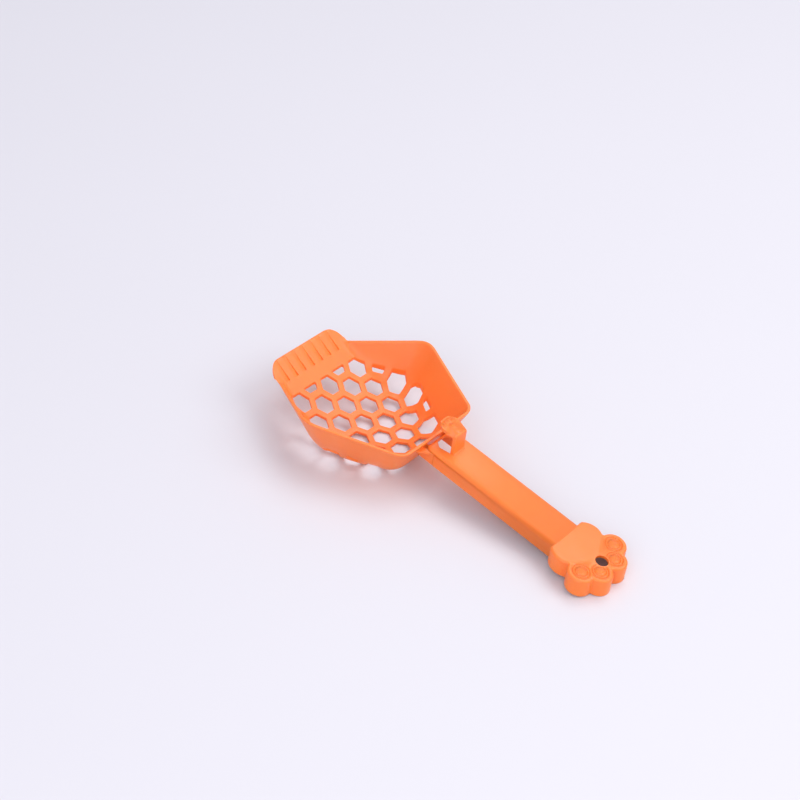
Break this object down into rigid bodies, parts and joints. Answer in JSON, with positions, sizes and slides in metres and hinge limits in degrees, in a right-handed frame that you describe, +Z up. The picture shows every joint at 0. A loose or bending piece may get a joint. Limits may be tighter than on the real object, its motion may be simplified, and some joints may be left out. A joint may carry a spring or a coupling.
{
  "type": "sifting scoop",
  "caption": "One-hand sifting scoop with a honeycomb sieve bowl, a ribbed scraping lip, a plug-in hollow handle with a hook, and a paw-shaped end with a hanging hole.",
  "frame": {"origin": "middle of the footprint, on the surface the scoop rests on", "axes": "+X from the bowl's lip to the paw end of the handle, +Z up as it rests"},
  "size_m": [0.2598, 0.12, 0.0456],
  "materials": {
    "bowl_plastic": "satin moulded polypropylene",
    "handle_plastic": "satin moulded polypropylene"
  },
  "bodies": {
    "handle": {"handle": "handle_plastic"},
    "bowl": {"sieve_bowl": "bowl_plastic"}
  },
  "joints": [
    {"name": "bowl_pull_off", "type": "slide", "parent": "handle", "child": "bowl", "axis": [-0.9912, 0, 0.1326], "range_m": [0, 0.038]}
  ]
}
